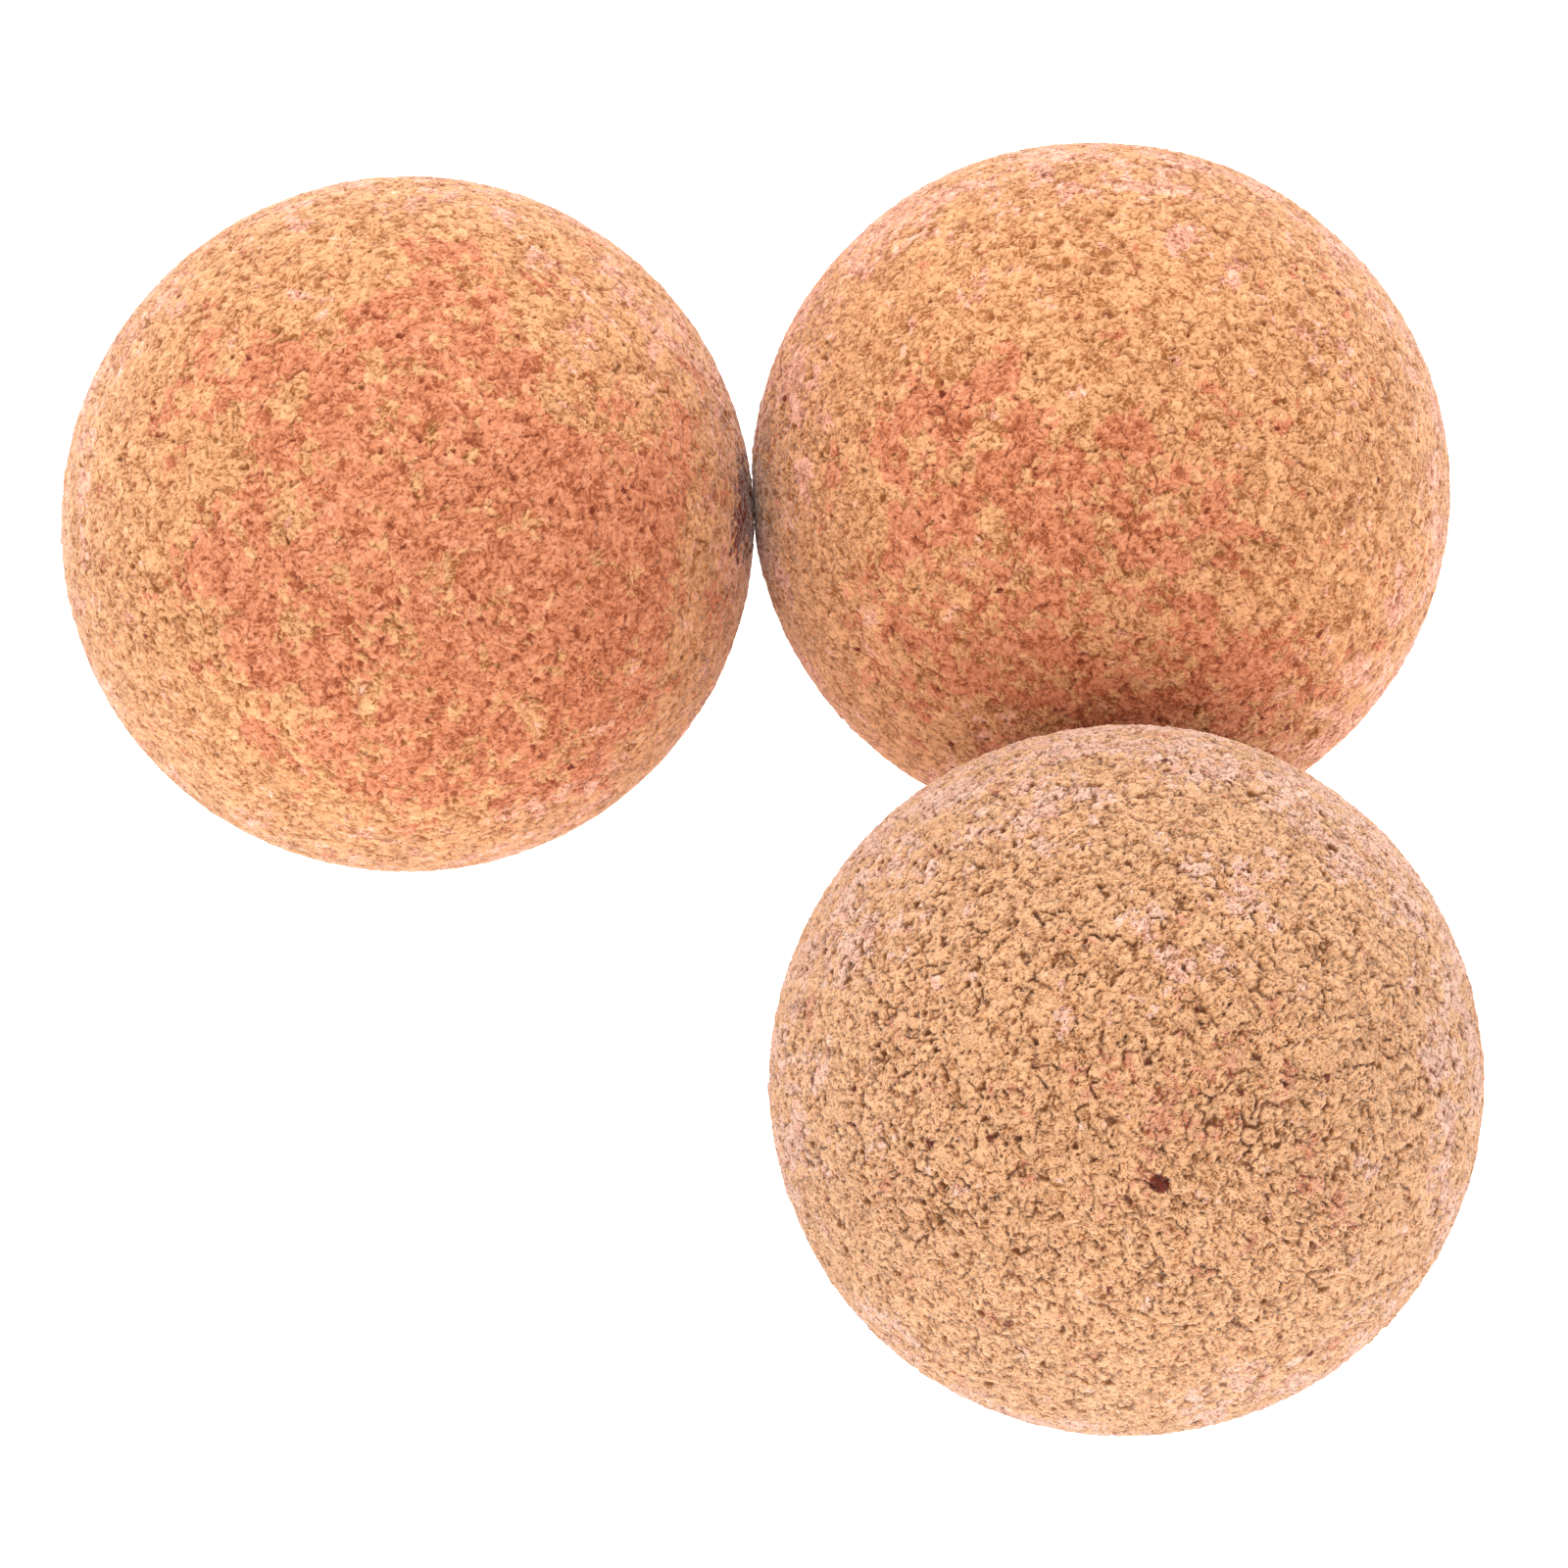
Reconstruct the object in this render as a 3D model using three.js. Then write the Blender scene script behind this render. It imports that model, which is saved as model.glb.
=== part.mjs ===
// A set of three equal cork massage balls that lie loose on a flat surface, in millimetres, +Z up.
// The origin is the bottom centre of the set's box, so the balls rest on z = 0. The front is -Y.
// Each ball is one solid piece of bonded cork granules, with nothing inside it.

import * as THREE from "three";
import { mergeVertices } from "three/addons/utils/BufferGeometryUtils.js";

// Driving dimensions
const BALL_DIAMETER = 65;
const NEIGHBOUR_GAP = 0.3; // between the right ball and each ball that lies against it
const LEFT_BALL_BEARING = 183.6; // degrees about +Z, from +X, as seen from the right ball
const FRONT_BALL_BEARING = -88.6; // degrees about +Z, from +X, as seen from the right ball
const EDGE_DIVISIONS = 12; // an even number puts a vertex on each axis, so every extent is a full diameter

const CORK_COLOUR = 0xe0ab7c;
const CORK_ROUGHNESS = 0.9;

const BALL_RADIUS = BALL_DIAMETER / 2;
const PITCH = BALL_DIAMETER + NEIGHBOUR_GAP;

// A closed geodesic ball: an icosahedron with each edge divided, and every vertex on the sphere.
function ballGeometry() {
  const faceted = new THREE.IcosahedronGeometry(BALL_RADIUS, EDGE_DIVISIONS - 1);
  faceted.deleteAttribute("normal");
  faceted.deleteAttribute("uv");
  const closed = mergeVertices(faceted);
  closed.computeVertexNormals();
  return closed;
}

// The centre of a ball that lies against the right ball, seen from the right ball's centre.
function neighbourCentre(bearing) {
  const angle = THREE.MathUtils.degToRad(bearing);
  return new THREE.Vector3(PITCH * Math.cos(angle), PITCH * Math.sin(angle), 0);
}

const CENTRES = {
  left_ball: neighbourCentre(LEFT_BALL_BEARING),
  right_ball: new THREE.Vector3(),
  front_ball: neighbourCentre(FRONT_BALL_BEARING),
};

const corkMaterial = new THREE.MeshStandardMaterial({
  color: CORK_COLOUR,
  roughness: CORK_ROUGHNESS,
  metalness: 0,
});

function ball(name, centre) {
  const mesh = new THREE.Mesh(ballGeometry(), corkMaterial);
  mesh.name = name;
  mesh.position.copy(centre);
  return mesh;
}

// The balls lie round the right ball. The group then moves them so that the box's middle is on the origin.
function ballSet() {
  const group = new THREE.Group();
  for (const [name, centre] of Object.entries(CENTRES)) {
    group.add(ball(name, centre));
  }
  const middle = new THREE.Box3().setFromPoints(Object.values(CENTRES)).getCenter(new THREE.Vector3());
  group.position.set(-middle.x, -middle.y, BALL_RADIUS);
  return group;
}

export default ballSet();
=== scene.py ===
"""Three loose cork massage balls on a pale floor, for Blender 4.5, in metres.

Each ball is ground from one block of bonded cork granules. Its surface is built here as a fine closed mesh:
granules of two sizes, each cut at its own tilt, the cracks between them, and pits where part of one is gone.
"""

import enum
import itertools
import math
from typing import NamedTuple

import bpy
import numpy as np
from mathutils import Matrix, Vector


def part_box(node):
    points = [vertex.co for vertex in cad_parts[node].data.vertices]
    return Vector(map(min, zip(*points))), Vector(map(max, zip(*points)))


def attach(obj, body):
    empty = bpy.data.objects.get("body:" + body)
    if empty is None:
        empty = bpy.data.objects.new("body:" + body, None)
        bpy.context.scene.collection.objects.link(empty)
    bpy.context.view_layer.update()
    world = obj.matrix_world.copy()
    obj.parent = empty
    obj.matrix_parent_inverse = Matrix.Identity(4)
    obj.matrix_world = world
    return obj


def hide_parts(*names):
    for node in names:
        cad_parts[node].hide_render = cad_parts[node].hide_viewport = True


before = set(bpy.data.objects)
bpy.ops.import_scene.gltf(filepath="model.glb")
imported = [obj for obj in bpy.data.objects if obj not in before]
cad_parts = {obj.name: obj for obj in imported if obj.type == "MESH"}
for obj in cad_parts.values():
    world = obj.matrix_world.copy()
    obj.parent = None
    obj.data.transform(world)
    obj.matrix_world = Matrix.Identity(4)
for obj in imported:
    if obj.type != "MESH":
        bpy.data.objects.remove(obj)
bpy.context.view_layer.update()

MM = 0.001

# The mesh of a ball
FACE_DIVISIONS = 256  # quads along each side of the cube that the ball is blown up from
CHART_MARGIN = 0.006  # left free round each face's chart, as a share of its cell of the map
BAKE_MAP = "OFBake"  # the name of the balls' map

# The tables of seeded random numbers that the granules and the noise repeat from
TABLE_SIDE = 64
TABLE_SIZE = TABLE_SIDE**3
BEYOND_REACH = 9.0  # further than any granule of the cells around a point, in pitches

# The granules: pitches in millimetres, and how much the granules of one pitch differ in size, as its share
COARSE_PITCH = 1.30
FINE_PITCH = 0.62
COARSE_SPREAD = 0.34
FINE_SPREAD = 0.25

# How far the granules' borders wander, and over what pitch, in millimetres
WARP, WARP_PITCH = 0.30, 1.3
FINE_WARP, FINE_WARP_PITCH = 0.12, 0.5

# The cracks: their half widths as a share of the granules' pitch, and how rare the wide ones are, as a power
CRACK_WIDTH, CRACK_RARITY = 0.11, 4.0
FINE_CRACK_WIDTH, FINE_CRACK_RARITY = 0.20, 2.0
LOOSENESS_PITCH = 4.0  # of the looser and tighter parts of the block, in millimetres
LEAST_GAPE, GAPE_RANGE = 0.55, 0.9  # how open its cracks are where tightest, and how much more where loosest

# The pits: the fine granules whose number is in this band or above it have one
PIT_BAND = (0.955, 0.975)
PIT_RIM = (0.02, 0.2)  # from a granule's border, where its pit starts and is whole, as a share of the pitch
TEAR_BAND = (-0.2, 0.4)  # the noise that leaves part of a pit out
TEAR_PITCH = 0.5  # of a pit's torn edge, in millimetres

# The relief of a ball of roughness 1, in millimetres, apart from the tilts, which are slopes
CRACK_DEPTH, FINE_CRACK_DEPTH, PIT_DEPTH = 0.36, 0.22, 0.40
STEP_HEIGHT, TILT = 0.09, 0.10
FINE_STEP_HEIGHT, FINE_TILT = 0.07, 0.16
GRAIN_HEIGHT, GRAIN_PITCH = 0.035, 0.42
SWELL_HEIGHT, SWELL_PITCH = 0.10, 14.0
BLOCK_REACH = (200, 900)  # where in the endless block each ball is cut from

# How much of a granule's tone and of its chance of a tint comes from the coarse and from the fine granule
TONE_SHARE, FINE_TONE_SHARE = 0.55, 0.45
TINT_BASE, TINT_SHARE, FINE_TINT_SHARE = 0.10, 0.50, 0.30
CLUSTER_SHARE, CLUSTER_PITCH = 0.35, 2.8  # how strongly granules of one tint cluster, and in what size

# How far the ragged edge of a tint's zone wanders, as a share of its width, and over what pitch
EDGE_WANDER, EDGE_PITCH = 0.35, 9.0
FINE_EDGE_WANDER, FINE_EDGE_PITCH = 0.45, 4.0

# How the balls meet, in millimetres
FACE_SWELL = 0.12  # the rough face stands this far out of the smooth ball that it covers
CONTACT_CLEARANCE = 0.02  # from the middle of the gap between two balls to either one

# The material's patterns on a ball of coarseness 1: pitches in millimetres
CHIP_PITCH = 0.70
CHIP_SWAY, CHIP_SWAY_PITCH = 0.45, 0.45
STREAK_PITCHES = (0.21, 0.36, 0.75)  # across, through and along the grain
MOTTLE_PITCH = 0.16
PATTERN_STEP = 0.1  # along X in metres for each step of the seed, so that each ball has its own patterns
PATTERN_PLACE = (0.2, 0.3)  # along Y and Z in metres, for all the balls

# How far the granules, chips, streaks and mottle shift the tone of a ball of contrast 1
GRANULE_TONE, CHIP_TONE, STREAK_TONE, MOTTLE_TONE = 0.60, 0.40, 2.2, 1.1
SPLIT_BAND = (0.30, 0.42)  # streaks below this band are dark splits, and none above it are; the splits are the grain's lowest grooves, partly dark grain and partly painted shade
SPLIT_DARKNESS = 0.9
# how dark a crack gets for its depth: partly the cork's dark joints, partly painted shade
CRACK_DARKNESS = 0.75
DEPTH_BAND = (0.08, 0.85)  # how deep a crack or pit begins to take painted shade, and is quite dark with it

# The material's relief in millimetres
STREAK_RELIEF, MOTTLE_RELIEF, CHIP_RELIEF = 0.40, 0.12, 0.05

# A mix node's colour sockets, by number, because its sockets for other data have the same names
MIX_FIRST, MIX_SECOND, MIX_RESULT = 6, 7, 2

# The cork's colours from dark to pale, each with its place on the scale of tones
TAN = (
    (0.0, (0.30, 0.096, 0.028)),
    (0.35, (0.60, 0.290, 0.134)),
    (0.60, (0.73, 0.360, 0.170)),
    (1.0, (0.87, 0.474, 0.250)),
)
RUSSET = (
    (0.0, (0.30, 0.075, 0.028)),
    (0.35, (0.57, 0.200, 0.097)),
    (0.60, (0.67, 0.260, 0.136)),
    (1.0, (0.78, 0.370, 0.218)),
)
# Pale pinks for the painted rim sheen: rosy granules, most on the rims as the camera sees them
ROSE_RIM_SHEEN = (
    (0.0, (0.34, 0.115, 0.070)),
    (0.35, (0.71, 0.330, 0.220)),
    (0.60, (0.82, 0.430, 0.305)),
    (1.0, (0.92, 0.560, 0.425)),
)
# Dark browns for cracks, pits and splits: partly the cork's dark joints, partly painted shade
CREVICE = (0.28, 0.095, 0.026, 1)
RED_CREVICE = (0.30, 0.072, 0.030, 1)
# A dark stain on the front ball, and painted contact shade where the left and right balls touch their
# neighbours
STAIN_AND_CONTACT_SHADE = (0.16, 0.025, 0.012, 1)

# The cork's finish: raw and matte, with a soft sheen from its loose dust
MATTE, MATTE_RANGE = 0.72, 0.25
SPECULAR = 0.08
SHEEN, SHEEN_ROUGHNESS, SHEEN_TINT = 0.5, 0.3, (1.0, 0.88, 0.78, 1.0)

# The camera, which looks at a point on the floor
VIEW_ELEVATION = 57.5  # degrees
VIEW_DISTANCE = 1.3
SENSOR = 36  # mm
LENS = 311.7  # mm
LOOK_AT = Vector((2.0, 20.25, 0.0)) * MM

# The floor and the lights
FLOOR_REACH = 3.0
FLOOR_WHITE = (0.85, 0.85, 0.85, 1)
FLOOR_GLOW = 0.9
WHITE = (1, 1, 1, 1)
WALL_GLOW, CEILING_GLOW, CEILING_FROM = 1.8, 0.9, 0.9
LAMP_SIZE = 0.5


class Zone(NamedTuple):
    """Where on a ball a tint is found: its middle, where it thins out, and its share inside and outside.

    How far a point is from the middle is one less the cosine of the angle between them.
    """

    middle: tuple
    near: float
    far: float
    most: float
    least: float


BALLS = {
    "left_ball": {
        "seed": 11,
        "long_axis": (0.3, 1.0, 0.2),
        "oval": 0.006,
        "roughness": 0.85,
        "contrast": 0.75,
        "paleness": 0.37,
        "coarseness": 1.5,
        "red": Zone((0.24, -0.60, 0.77), near=0.12, far=0.55, most=0.70, least=0.06),
        # rosy: painted rim sheen, most on the rims as the camera sees them and on the far side
        "rosy_rim_sheen": Zone((0.0, 0.60, -0.80), near=1.05, far=1.70, most=0.45, least=0.0),
        # stain: painted contact shade, dark granules where this ball touches the right ball
        "stain_and_contact_shade": Zone((0.985, -0.06, 0.16), near=0.001, far=0.024, most=1.0, least=0.0006),
    },
    "right_ball": {
        "seed": 23,
        "long_axis": (0.91, -0.36, -0.23),
        "oval": 0.018,
        "roughness": 0.9,
        "contrast": 0.75,
        "paleness": 0.36,
        "coarseness": 1.35,
        "red": Zone((-0.02, -0.79, 0.61), near=0.04, far=0.42, most=0.60, least=0.05),
        # rosy: painted rim sheen, most on the rims as the camera sees them and on the far side
        "rosy_rim_sheen": Zone((0.0, 0.60, -0.80), near=1.10, far=1.80, most=0.55, least=0.02),
        # stain: painted contact shade, dark granules where this ball touches the front ball
        "stain_and_contact_shade": Zone((0.0, -1.0, 0.0), near=0.0, far=0.010, most=0.4, least=0.0006),
    },
    "front_ball": {
        "seed": 37,
        "long_axis": (1.0, 0.3, 0.0),
        "oval": 0.004,
        "roughness": 1.3,
        "contrast": 1.4,
        "paleness": 0.82,
        "coarseness": 1.0,
        "red": Zone((0.1, -0.6, 0.8), near=0.02, far=0.14, most=0.28, least=0.05),
        # rosy: painted rim sheen, most on the rims as the camera sees them and on the far side
        "rosy_rim_sheen": Zone((0.0, 0.70, -0.71), near=1.10, far=1.80, most=0.58, least=0.03),
        # stain: a small dark stain of the cork's own, just below the middle of the side that faces the camera
        "stain_and_contact_shade": Zone((0.066, -0.739, 0.669), near=0.0001, far=0.0005, most=1.0, least=0.0020),
    },
}


class Draw(enum.IntEnum):
    """What each random choice adds to its ball's seed, so that no two for a ball use the same numbers."""

    WARP = 1
    FINE_WARP = 5
    GRANULES = 10
    FINE_GRANULES = 20
    GAPE = 30
    LOOSENESS = 31
    FINE_GAPE = 32
    PIT = 33
    TEAR = 34
    TILT = 40
    STEP = 43
    FINE_TILT = 44
    FINE_STEP = 47
    GRAIN = 48
    SWELL = 49
    TONE = 60
    FINE_TONE = 61
    TINT = 62
    FINE_TINT = 63
    STAIN_AND_CONTACT_SHADE = 64
    CLUSTER = 65
    RED_EDGE = 70
    ROSY_RIM_SHEEN_EDGE = 80
    STAIN_AND_CONTACT_SHADE_EDGE = 90


def axis_keys(low, steps):
    """For each axis and step, what the lattice cells at low plus that step add to their place in a table."""
    strides = (TABLE_SIDE * TABLE_SIDE, TABLE_SIDE, 1)
    return [[(along + step) % TABLE_SIDE * stride for step in steps] for along, stride in zip(low, strides)]


def noise(points, pitch, seed):
    """Smooth value noise from -1 to 1, with features of about that pitch."""
    table = np.random.default_rng(seed).uniform(-1, 1, TABLE_SIZE)
    at = points.T / pitch
    low = np.floor(at).astype(int)
    share = at - low
    share = share * share * (3 - 2 * share)
    weights = np.stack([1 - share, share], axis=1)
    keys = axis_keys(low, (0, 1))
    total = np.zeros(len(points))
    for x, y, z in itertools.product((0, 1), repeat=3):
        corner = table[keys[0][x] + keys[1][y] + keys[2][z]]
        total += corner * weights[0, x] * weights[1, y] * weights[2, z]
    return total


def noise_vector(points, pitch, seed):
    return np.stack([noise(points, pitch, seed + axis) for axis in range(3)], axis=-1)


class Packing(NamedTuple):
    """Which granule holds each point, and where in it the point lies."""

    owner: np.ndarray  # the granule's key
    rival: np.ndarray  # the key of the nearest neighbour
    border: np.ndarray  # the distance to the border between them, as a share of the pitch
    offset: np.ndarray  # from the granule's centre, in millimetres


def granules(points, pitch, spread, seed):
    """Packs space with bonded granules of uneven size."""
    rng = np.random.default_rng(seed)
    centres = rng.random((3, TABLE_SIZE))
    sizes = rng.random(TABLE_SIZE) * spread
    at = points.T / pitch
    low = np.floor(at).astype(int)
    within = at - low
    keys = axis_keys(low, (-1, 0, 1))
    count = len(points)
    nearest = np.full(count, BEYOND_REACH)
    second = np.full(count, BEYOND_REACH)
    owner = np.zeros(count, int)
    rival = np.zeros(count, int)
    offset = np.zeros((3, count))
    for step in itertools.product((0, 1, 2), repeat=3):
        key = keys[0][step[0]] + keys[1][step[1]] + keys[2][step[2]]
        away = [within[axis] - (step[axis] - 1) - centres[axis][key] for axis in range(3)]
        reach = np.sqrt(away[0] ** 2 + away[1] ** 2 + away[2] ** 2) - sizes[key]
        first = reach < nearest
        runner_up = ~first & (reach < second)
        second = np.where(first, nearest, np.where(runner_up, reach, second))
        rival = np.where(first, owner, np.where(runner_up, key, rival))
        nearest = np.where(first, reach, nearest)
        owner = np.where(first, key, owner)
        offset = np.where(first, away, offset)
    return Packing(owner, rival, second - nearest, offset.T * pitch)


def draw(keys, seed):
    """A random number from 0 to 1 for each granule key."""
    return np.random.default_rng(seed).random(TABLE_SIZE)[keys % TABLE_SIZE]


def draw_tilt(packing, seed):
    """How far each granule's own random slope lifts the points in it, for a slope of up to half."""
    slope = np.stack([draw(packing.owner, seed + axis) - 0.5 for axis in range(3)], axis=-1)
    return (slope * packing.offset).sum(axis=1)


def smoothstep(low, high, value):
    share = np.clip((value - low) / (high - low), 0, 1)
    return share * share * (3 - 2 * share)


def unit(vector):
    vector = np.array(vector, float)
    return vector / np.linalg.norm(vector)


def cube_sphere(divisions):
    """Unit directions, quads that face out and a map position for each quad corner.

    The six faces of a cube are blown up to a ball and welded. Their charts lie three across and two up.
    """
    side = divisions + 1
    steps = np.arange(side)
    across, up = (a.ravel() for a in np.meshgrid(steps, steps, indexing="ij"))
    corner = np.arange(side * side).reshape(side, side)
    quad = np.stack([corner[:-1, :-1], corner[1:, :-1], corner[1:, 1:], corner[:-1, 1:]], axis=-1)
    quad = quad.reshape(-1, 4)
    chart = CHART_MARGIN + np.stack([across, up], axis=-1) / divisions * (1 - 2 * CHART_MARGIN)
    lattice, quads, places = [], [], []
    for face in range(6):
        axis, far = divmod(face, 2)
        points = np.empty((side * side, 3), int)
        points[:, axis] = far * divisions
        points[:, (axis + 1) % 3] = across
        points[:, (axis + 2) % 3] = up
        lattice.append(points)
        turned = quad if far else quad[:, ::-1]
        quads.append(turned + face * side * side)
        places.append((chart[turned] + (axis, far)) / (3, 2))
    lattice = np.concatenate(lattice)
    keys, first, welded = np.unique(lattice @ (side * side, side, 1), return_index=True, return_inverse=True)
    spread = np.tan((2 * lattice[first] / divisions - 1) * math.pi / 4)
    directions = spread / np.linalg.norm(spread, axis=1, keepdims=True)
    return directions, welded.reshape(-1)[np.concatenate(quads)], np.concatenate(places)


def openings(block, coarse, fine, seed):
    """How open the cracks, the fine cracks and the pits are at each point, from 0 to 1."""
    # Most borders are bonded tight, and a few gape.
    gape = draw(coarse.owner + coarse.rival, seed + Draw.GAPE) ** CRACK_RARITY
    looseness = 0.5 + 0.5 * noise(block, LOOSENESS_PITCH, seed + Draw.LOOSENESS)
    gape = np.clip(gape * (LEAST_GAPE + GAPE_RANGE * looseness), 0, 1)
    fine_gape = draw(fine.owner + fine.rival, seed + Draw.FINE_GAPE) ** FINE_CRACK_RARITY
    crack = gape * np.exp(-((coarse.border / CRACK_WIDTH) ** 2))
    fine_crack = fine_gape * np.exp(-((fine.border / FINE_CRACK_WIDTH) ** 2))
    # Pits are where part of a fine granule has gone.
    torn = smoothstep(*TEAR_BAND, noise(block, TEAR_PITCH, seed + Draw.TEAR))
    pitted = smoothstep(*PIT_BAND, draw(fine.owner, seed + Draw.PIT))
    pit = pitted * smoothstep(*PIT_RIM, fine.border) * torn
    return crack, fine_crack, pit


def granule_relief(block, coarse, fine, seed):
    """How far each point stands proud in millimetres: each granule has its own height and its own tilt."""
    proud = STEP_HEIGHT * (draw(coarse.owner, seed + Draw.STEP) - 0.5)
    proud = proud + TILT * draw_tilt(coarse, seed + Draw.TILT)
    fine_proud = FINE_STEP_HEIGHT * (draw(fine.owner, seed + Draw.FINE_STEP) - 0.5)
    fine_proud = fine_proud + FINE_TILT * draw_tilt(fine, seed + Draw.FINE_TILT)
    grain = GRAIN_HEIGHT * noise(block, GRAIN_PITCH, seed + Draw.GRAIN)
    return proud + fine_proud + grain


def tinted_share(directions, block, zone, seed):
    """The share of granules that have a tint: most in the middle of its zone, and least away from it."""
    away = 1 - directions @ unit(zone.middle)
    ragged = EDGE_WANDER * noise(block, EDGE_PITCH, seed)
    ragged += FINE_EDGE_WANDER * noise(block, FINE_EDGE_PITCH, seed + 1)
    edge = smoothstep(zone.near, zone.far, away + (zone.far - zone.near) * ragged)
    return zone.most + (zone.least - zone.most) * edge


def tints(directions, block, coarse, fine, ball):
    """Which granules are red, rosy with painted rim sheen, and dark (a stain on the front ball, painted
    contact shade on the others), as true or false. Red and rosy ones lie in loose clusters.
    """
    seed = ball["seed"]
    choice = TINT_BASE + TINT_SHARE * draw(coarse.owner, seed + Draw.TINT)
    choice += FINE_TINT_SHARE * draw(fine.owner, seed + Draw.FINE_TINT)
    choice += CLUSTER_SHARE * noise(block, CLUSTER_PITCH, seed + Draw.CLUSTER)
    spot = draw(fine.owner, seed + Draw.STAIN_AND_CONTACT_SHADE)
    return {
        "red": choice < tinted_share(directions, block, ball["red"], seed + Draw.RED_EDGE),
        # rosy: painted rim sheen
        "rosy_rim_sheen": 1 - choice < tinted_share(directions, block, ball["rosy_rim_sheen"], seed + Draw.ROSY_RIM_SHEEN_EDGE),
        # stain: painted contact shade on the left and right balls, a real stain on the front ball
        "stain_and_contact_shade": spot < tinted_share(directions, block, ball["stain_and_contact_shade"], seed + Draw.STAIN_AND_CONTACT_SHADE_EDGE),
    }


def cork_surface(directions, radius, ball):
    """Shapes one ball in millimetres. Returns the points and what the material reads at each of them."""
    seed = ball["seed"]
    # Each ball is cut from its own part of the block.
    block = directions * radius + np.random.default_rng(seed).uniform(*BLOCK_REACH, 3)
    warped = block + WARP * noise_vector(block, WARP_PITCH, seed + Draw.WARP)
    warped += FINE_WARP * noise_vector(block, FINE_WARP_PITCH, seed + Draw.FINE_WARP)
    coarse = granules(warped, COARSE_PITCH, COARSE_SPREAD, seed + Draw.GRANULES)
    fine = granules(warped, FINE_PITCH, FINE_SPREAD, seed + Draw.FINE_GRANULES)
    crack, fine_crack, pit = openings(block, coarse, fine, seed)

    height = granule_relief(block, coarse, fine, seed)
    height = height - CRACK_DEPTH * crack - FINE_CRACK_DEPTH * fine_crack - PIT_DEPTH * pit
    swell = SWELL_HEIGHT * noise(block, SWELL_PITCH, seed + Draw.SWELL)
    stretch = 1 + ball["oval"] * ((directions @ unit(ball["long_axis"])) ** 2 - 1 / 3)
    reach = radius * stretch + FACE_SWELL + ball["roughness"] * height + swell

    # The deeper a crack or pit, the darker the material paints it: partly the cork's dark joints, partly
    # painted shade
    depth = np.clip(CRACK_DARKNESS * crack + CRACK_DARKNESS * fine_crack + pit, 0, 1) * ball["roughness"]
    tone = TONE_SHARE * draw(coarse.owner, seed + Draw.TONE)
    tone += FINE_TONE_SHARE * draw(fine.owner, seed + Draw.FINE_TONE)
    marks = {"depth": depth, "tone": tone, **tints(directions, block, coarse, fine, ball)}
    return directions * reach[:, None], marks


def keep_apart(points, toward, reach):
    """Presses points in millimetres back to a plane at that reach, where the floor or another ball begins."""
    over = np.maximum(points @ toward - reach, 0)
    return points - over[:, None] * toward


def ball_mesh(name, points, quads, places, marks):
    """A smooth-shaded mesh from points in millimetres, with its marks as attributes and its map."""
    mesh = bpy.data.meshes.new(name)
    mesh.vertices.add(len(points))
    mesh.vertices.foreach_set("co", (points * MM).astype(np.float32).ravel())
    mesh.loops.add(quads.size)
    mesh.loops.foreach_set("vertex_index", quads.astype(np.int32).ravel())
    mesh.polygons.add(len(quads))
    mesh.polygons.foreach_set("loop_start", np.arange(0, quads.size, 4, dtype=np.int32))
    mesh.update(calc_edges=True)
    mesh.shade_smooth()
    for mark, values in marks.items():
        mesh.attributes.new(mark, "FLOAT", "POINT").data.foreach_set("value", values.astype(np.float32))
    mesh.uv_layers.new(name=BAKE_MAP).data.foreach_set("uv", places.astype(np.float32).ravel())
    return mesh


def ball_object(name, base, centre, radius, neighbours, ball):
    directions, quads, places = base
    points, marks = cork_surface(directions, radius / MM, ball)
    points = keep_apart(points, np.array((0, 0, -1)), radius / MM)
    for other in neighbours:
        apart = np.array(other - centre) / MM
        distance = np.linalg.norm(apart)
        points = keep_apart(points, apart / distance, distance / 2 - CONTACT_CLEARANCE)
    piece = bpy.data.objects.new(name, ball_mesh(name, points, quads, places, marks))
    piece.location = centre
    bpy.context.collection.objects.link(piece)
    return piece


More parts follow.
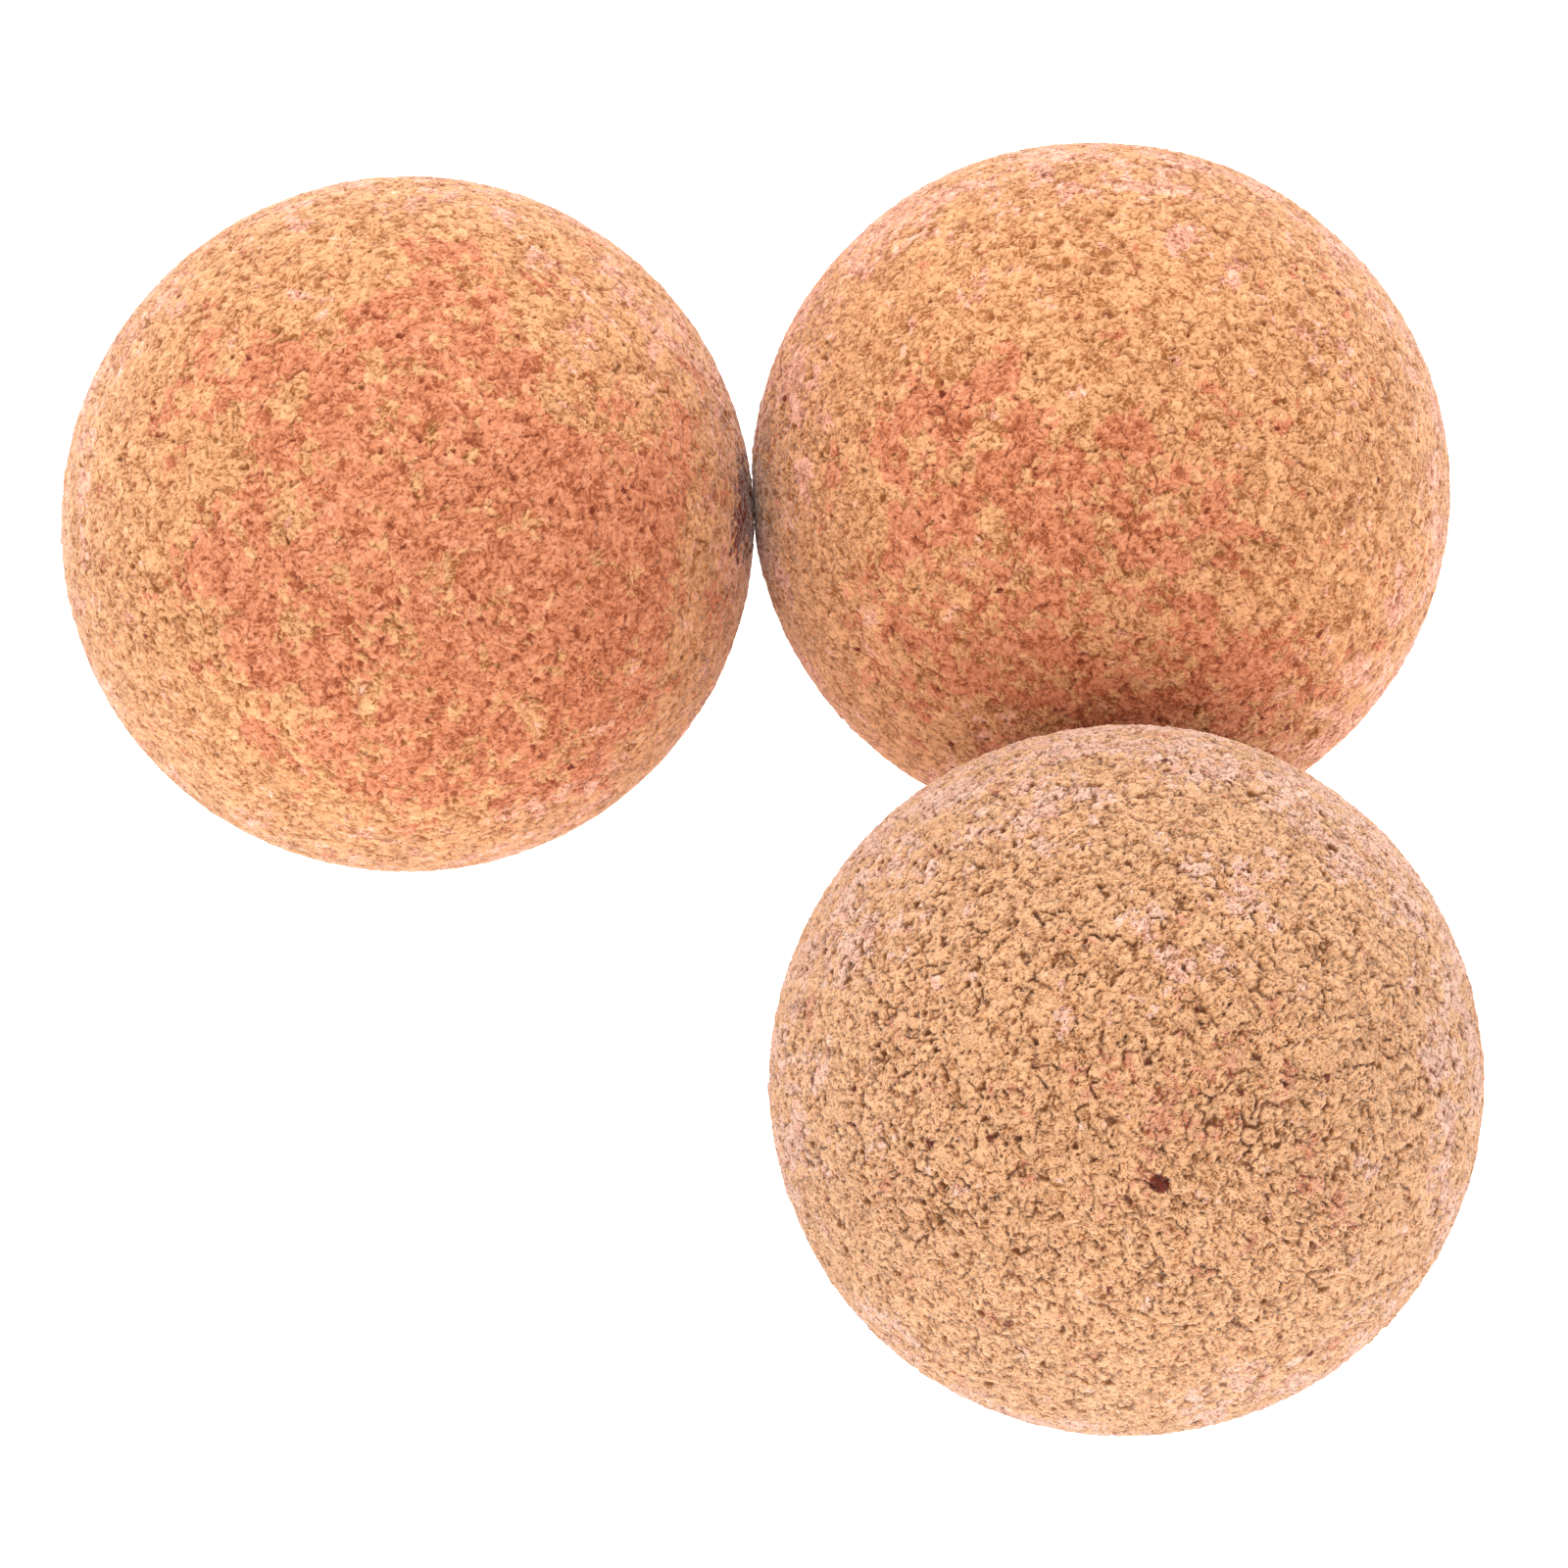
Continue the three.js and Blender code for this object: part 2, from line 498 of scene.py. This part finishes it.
class Tree:
    """Short names for making and linking a material's nodes."""

    def __init__(self, material):
        material.use_nodes = True
        self.nodes = material.node_tree.nodes
        self.links = material.node_tree.links
        self.shader = self.nodes["Principled BSDF"]

    def add(self, kind, **inputs):
        node = self.nodes.new(kind)
        for name, value in inputs.items():
            self.put(value, node.inputs[name.replace("_", " ")])
        return node

    def put(self, value, socket):
        if isinstance(value, bpy.types.NodeSocket):
            self.links.new(value, socket)
        else:
            socket.default_value = value

    def finish(self, **inputs):
        """Sets or links the shader's own sockets."""
        for name, value in inputs.items():
            self.put(value, self.shader.inputs[name.replace("_", " ")])

    def math(self, operation, *values):
        node = self.nodes.new("ShaderNodeMath")
        node.operation = operation
        for value, socket in zip(values, node.inputs):
            self.put(value, socket)
        return node.outputs[0]

    def total(self, first, *others):
        for other in others:
            first = self.math("ADD", first, other)
        return first

    def vector_math(self, operation, *values):
        node = self.nodes.new("ShaderNodeVectorMath")
        node.operation = operation
        for value, socket in zip(values, node.inputs):
            self.put(value, socket)
        return node.outputs[0]

    def mix(self, share, first, second):
        node = self.nodes.new("ShaderNodeMix")
        node.data_type = "RGBA"
        self.put(share, node.inputs["Factor"])
        self.put(first, node.inputs[MIX_FIRST])
        self.put(second, node.inputs[MIX_SECOND])
        return node.outputs[MIX_RESULT]

    def mark(self, name):
        node = self.nodes.new("ShaderNodeAttribute")
        node.attribute_name = name
        return node.outputs["Fac"]

    def band(self, value, low, high):
        """0 below low and 1 above high, smooth between."""
        node = self.nodes.new("ShaderNodeMapRange")
        node.interpolation_type = "SMOOTHSTEP"
        self.put(value, node.inputs["Value"])
        node.inputs["From Min"].default_value = low
        node.inputs["From Max"].default_value = high
        return node.outputs[0]

    def ramp(self, value, stops):
        node = self.nodes.new("ShaderNodeValToRGB")
        self.put(value, node.inputs[0])
        while len(node.color_ramp.elements) < len(stops):
            node.color_ramp.elements.new(0.5)
        for element, (place, colour) in zip(node.color_ramp.elements, stops):
            element.position = place
            element.color = (*colour, 1)
        return node.outputs[0]

    def place_on_ball(self, shift):
        """Keeps the place on the ball, moved by shift in metres, for the patterns to start from."""
        node = self.add("ShaderNodeMapping", Vector=self.nodes.new("ShaderNodeTexCoord").outputs["Object"])
        node.inputs["Location"].default_value = shift
        self.place = node.outputs[0]

    def rough_noise(self, vector, scale):
        return self.add("ShaderNodeTexNoise", Vector=vector, Scale=scale, Detail=2.0, Roughness=0.6)

    def cloud(self, pitch, output="Fac"):
        """Noise from 0 to 1 fixed to the ball, with features of about that pitch in millimetres."""
        return self.rough_noise(self.place, 1 / (pitch * MM)).outputs[output]

    def sway(self, reach, pitch):
        """A vector that wanders by up to half of reach, in millimetres, to roughen what it is added to."""
        wander = self.vector_math("SUBTRACT", self.cloud(pitch, "Color"), (0.5, 0.5, 0.5))
        scaled = self.vector_math("SCALE", wander)
        scaled.node.inputs["Scale"].default_value = reach * MM
        return scaled

    def chips(self, pitch, vector):
        """A random colour for each chip of a broken-up pattern of that pitch in millimetres."""
        node = self.add("ShaderNodeTexVoronoi", Vector=vector, Scale=1 / (pitch * MM))
        return node.outputs["Color"]

    def grain(self, chip, *pitches):
        """Streaks from 0 to 1 that run their own way in each chip, with three pitches in millimetres."""
        turn = self.vector_math("MULTIPLY", chip, (2 * math.pi,) * 3)
        node = self.add("ShaderNodeVectorRotate", Vector=self.place)
        node.rotation_type = "EULER_XYZ"
        self.put(turn, node.inputs["Rotation"])
        scales = tuple(1 / (pitch * MM) for pitch in pitches)
        stretched = self.vector_math("MULTIPLY", node.outputs[0], scales)
        return self.rough_noise(stretched, 1.0).outputs["Fac"]

    def centred(self, value, amount):
        """A 0 to 1 value turned into a shift either way, by up to half of amount."""
        return self.math("MULTIPLY", self.math("SUBTRACT", value, 0.5), amount)


def cork_grain(t, coarseness):
    """Chips about as large as the fine granules. Bark has a grain, and each shows it cut at another angle.

    Returns two random values for each chip, its streaks and a fine mottle, each from 0 to 1.
    """
    ragged = t.vector_math("ADD", t.place, t.sway(CHIP_SWAY, CHIP_SWAY_PITCH))
    chip = t.chips(CHIP_PITCH * coarseness, ragged)
    values = t.add("ShaderNodeSeparateColor", Color=chip)
    streak = t.grain(chip, *(pitch * coarseness for pitch in STREAK_PITCHES))
    return values.outputs[0], values.outputs[1], streak, t.cloud(MOTTLE_PITCH * coarseness)


def cork_colour(t, ball, shade, streak, mottle):
    """Tan granules from pale to brown, some reddish, some rosy with painted rim sheen, with dark cracks and
    streaks that are partly painted shade, a stain and painted contact shade.
    """
    contrast = ball["contrast"]
    tone = t.total(
        ball["paleness"],
        t.centred(t.mark("tone"), GRANULE_TONE * contrast),
        t.centred(shade, CHIP_TONE * contrast),
        t.centred(streak, STREAK_TONE * contrast),
        t.centred(mottle, MOTTLE_TONE * contrast),
    )
    red = t.mark("red")
    # Rosy granules are painted rim sheen, pale pink on the rims as the camera sees them
    granule = t.mix(t.mark("rosy_rim_sheen"), t.mix(red, t.ramp(tone, TAN), t.ramp(tone, RUSSET)), t.ramp(tone, ROSE_RIM_SHEEN))
    # Dark splits and deep cracks and pits: partly the cork's own dark joints and grain, partly painted shade
    split = t.math("SUBTRACT", 1.0, t.band(streak, *SPLIT_BAND))
    split = t.math("MULTIPLY", split, SPLIT_DARKNESS * contrast)
    dark = t.math("MAXIMUM", t.band(t.mark("depth"), *DEPTH_BAND), split)
    # The stain colour: painted contact shade on the left and right balls, a real stain on the front ball
    return t.mix(t.mark("stain_and_contact_shade"), t.mix(dark, granule, t.mix(red, CREVICE, RED_CREVICE)), STAIN_AND_CONTACT_SHADE)


def cork_material(name, ball):
    """Raw bonded cork, matte all over, with a relief of grain and shallow chips on top of the mesh's own."""
    material = bpy.data.materials.new(name)
    t = Tree(material)
    t.place_on_ball((PATTERN_STEP * ball["seed"], *PATTERN_PLACE))
    shade, step, streak, mottle = cork_grain(t, ball["coarseness"])
    relief = t.total(
        t.math("MULTIPLY", streak, STREAK_RELIEF),
        t.math("MULTIPLY", mottle, MOTTLE_RELIEF),
        t.math("MULTIPLY", step, CHIP_RELIEF),
    )
    bump = t.add("ShaderNodeBump", Height=relief, Strength=ball["contrast"], Distance=MM)
    t.finish(
        Base_Color=cork_colour(t, ball, shade, streak, mottle),
        Roughness=t.math("ADD", MATTE, t.math("MULTIPLY", mottle, MATTE_RANGE)),
        Specular_IOR_Level=SPECULAR,
        Sheen_Weight=SHEEN,
        Sheen_Roughness=SHEEN_ROUGHNESS,
        Sheen_Tint=SHEEN_TINT,
        Normal=bump.outputs[0],
    )
    return material


def make_balls():
    base = cube_sphere(FACE_DIVISIONS)
    boxes = {node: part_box(node) for node in BALLS}
    centres = {node: (low + high) / 2 for node, (low, high) in boxes.items()}
    for node, ball in BALLS.items():
        low, high = boxes[node]
        neighbours = [centre for other, centre in centres.items() if other != node]
        piece = ball_object(node + "_cork", base, centres[node], (high - low).x / 2, neighbours, ball)
        piece.data.materials.append(cork_material("cork_" + node, ball))
        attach(piece, node)
        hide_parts(node)


def make_floor():
    """A plain white floor that glows a little, as a light table does."""
    mesh = bpy.data.meshes.new("floor")
    corners = [(x * FLOOR_REACH, y * FLOOR_REACH, 0) for x, y in ((-1, -1), (1, -1), (1, 1), (-1, 1))]
    mesh.from_pydata(corners, [], [(0, 1, 2, 3)])
    floor = bpy.data.objects.new("floor", mesh)
    bpy.context.collection.objects.link(floor)
    material = bpy.data.materials.new("pale_floor")
    Tree(material).finish(
        Base_Color=FLOOR_WHITE,
        Emission_Color=WHITE,
        Emission_Strength=FLOOR_GLOW,
        Roughness=0.8,
        Specular_IOR_Level=0.1,
    )
    mesh.materials.append(material)


def make_light(name, place, watts):
    """A round soft lamp that faces the balls."""
    data = bpy.data.lights.new(name, "AREA")
    data.shape = "DISK"
    data.size = LAMP_SIZE
    data.energy = watts
    light = bpy.data.objects.new(name, data)
    light.location = place
    light.rotation_euler = (-Vector(place)).to_track_quat("-Z", "Y").to_euler()
    bpy.context.collection.objects.link(light)


def make_surround():
    """A light tent: bright walls all round, and less light from above."""
    world = bpy.data.worlds.new("studio")
    world.use_nodes = True
    nodes = world.node_tree.nodes
    links = world.node_tree.links
    place = nodes.new("ShaderNodeTexCoord")
    split = nodes.new("ShaderNodeSeparateXYZ")
    grade = nodes.new("ShaderNodeMapRange")
    links.new(place.outputs["Generated"], split.inputs[0])
    links.new(split.outputs["Z"], grade.inputs["Value"])
    grade.inputs["From Max"].default_value = CEILING_FROM
    grade.inputs["To Min"].default_value = WALL_GLOW
    grade.inputs["To Max"].default_value = CEILING_GLOW
    links.new(grade.outputs[0], nodes["Background"].inputs["Strength"])
    nodes["Background"].inputs["Color"].default_value = WHITE
    bpy.context.scene.world = world


def make_camera():
    data = bpy.data.cameras.new("camera")
    data.lens = LENS
    data.sensor_width = SENSOR
    camera = bpy.data.objects.new("camera", data)
    angle = math.radians(VIEW_ELEVATION)
    back = Vector((0, -math.cos(angle), math.sin(angle)))
    camera.location = LOOK_AT + back * VIEW_DISTANCE
    camera.rotation_euler = (-back).to_track_quat("-Z", "Y").to_euler()
    bpy.context.collection.objects.link(camera)
    bpy.context.scene.camera = camera


make_camera()
make_floor()
make_surround()
make_light("back_softbox", (-0.2, 0.8, 0.9), 10)
make_light("front_softbox", (0.25, -0.95, 0.65), 3)
make_balls()
bpy.context.scene.view_settings.view_transform = "Standard"
